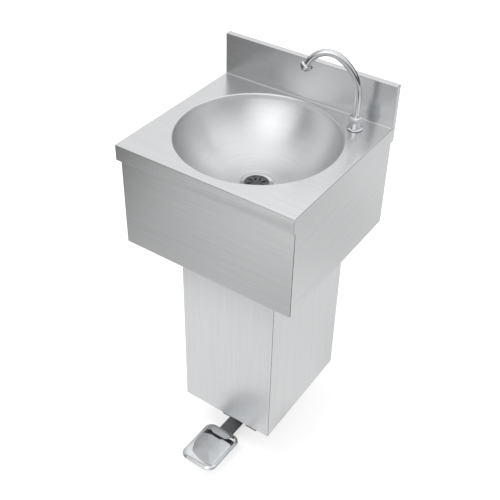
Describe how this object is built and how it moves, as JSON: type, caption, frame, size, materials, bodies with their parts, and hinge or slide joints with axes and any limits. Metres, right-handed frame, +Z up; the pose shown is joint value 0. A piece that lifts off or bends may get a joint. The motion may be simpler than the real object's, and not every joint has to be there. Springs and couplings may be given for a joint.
{
  "type": "hand wash sink",
  "caption": "Wall-fixed stainless steel hand wash sink with a round bowl, splashback, swivelling swan-neck spout and a pedal-operated foot valve behind a pedestal cover.",
  "frame": {"origin": "on the floor, in the middle of the footprint's bounding box", "axes": "+X to the user's right, +Y to the wall, +Z up"},
  "size_m": [0.45, 0.4654, 1.0809],
  "materials": {
    "satin_steel": "satin ground stainless steel sheet",
    "plain_steel": "mill finish stainless steel",
    "chrome": "polished chrome plate",
    "nozzle_steel": "turned steel",
    "strainer_steel": "stamped steel",
    "screw_steel": "bright stainless steel",
    "lever_steel": "dark phosphated steel",
    "brass": "turned brass",
    "copper": "drawn copper tube",
    "rubber": "moulded rubber",
    "trap_plastic": "moulded polypropylene",
    "nylon": "moulded nylon"
  },
  "bodies": {
    "root": {"deck_top": "satin_steel", "splashback": "satin_steel", "bowl": "satin_steel", "apron_front": "satin_steel", "apron_left": "satin_steel", "apron_right": "satin_steel", "hook_angle": "plain_steel", "hanging_rail": "plain_steel", "pedestal_front": "satin_steel", "pedestal_left": "satin_steel", "pedestal_right": "satin_steel", "pedestal_crossbar": "plain_steel", "cover_screws": "screw_steel", "tap_body": "chrome", "tap_gasket": "rubber", "tap_shank": "brass", "tap_washer": "plain_steel", "tap_backnut": "brass", "spout_nut": "chrome", "spout_o_ring": "rubber", "waste_flange": "chrome", "waste_grate": "strainer_steel", "grate_screw": "screw_steel", "waste_seal": "rubber", "waste_nut": "trap_plastic", "trap_inlet_nut": "trap_plastic", "trap_inlet_washer": "rubber", "trap_inlet_tube": "trap_plastic", "trap_neck_nut": "trap_plastic", "trap_neck_seal": "rubber", "trap_bottle": "trap_plastic", "trap_cup": "trap_plastic", "trap_cup_seal": "rubber", "trap_outlet_nut": "trap_plastic", "trap_outlet_seal": "rubber", "outlet_pipe": "trap_plastic", "valve_bracket": "plain_steel", "valve_body": "brass", "valve_locknut": "brass", "valve_bonnet": "brass", "stem_seal": "rubber", "valve_spring": "screw_steel", "inlet_nut": "brass", "inlet_pipe": "copper", "riser_nuts": "brass", "riser_pipe": "copper", "pipe_clip": "plain_steel", "pivot_pin": "screw_steel", "pivot_clips": "lever_steel", "pivot_washers": "nylon"},
    "spout": {"spout_tube": "chrome", "spout_ring_nut": "chrome", "spout_nozzle": "nozzle_steel"},
    "pedal": {"pedal_lever": "lever_steel", "pedal_pad": "chrome", "pad_screws": "screw_steel"},
    "stem": {"valve_stem": "screw_steel", "seat_washer": "rubber"}
  },
  "joints": [
    {"name": "pedal_press", "type": "hinge", "parent": "root", "child": "pedal", "pos_m": [0, -0.01729, 0.02], "axis": [1, 0, 0], "range_deg": [0, 7], "stiffness_Nm_per_rad": 15, "springref_deg": -11.46},
    {"name": "stem_lift", "type": "slide", "parent": "root", "child": "stem", "axis": [0, 0, 1], "range_m": [0, 0.005], "deforming": ["valve_spring"]},
    {"name": "spout_swivel", "type": "hinge", "parent": "root", "child": "spout", "pos_m": [0.157, 0.17071, 0.93], "axis": [0, 0, 1], "range_deg": [-40, 180]}
  ],
  "couplings": [
    {"joint": "stem_lift", "follows": "pedal_press", "m_per_rad": 0.04}
  ]
}
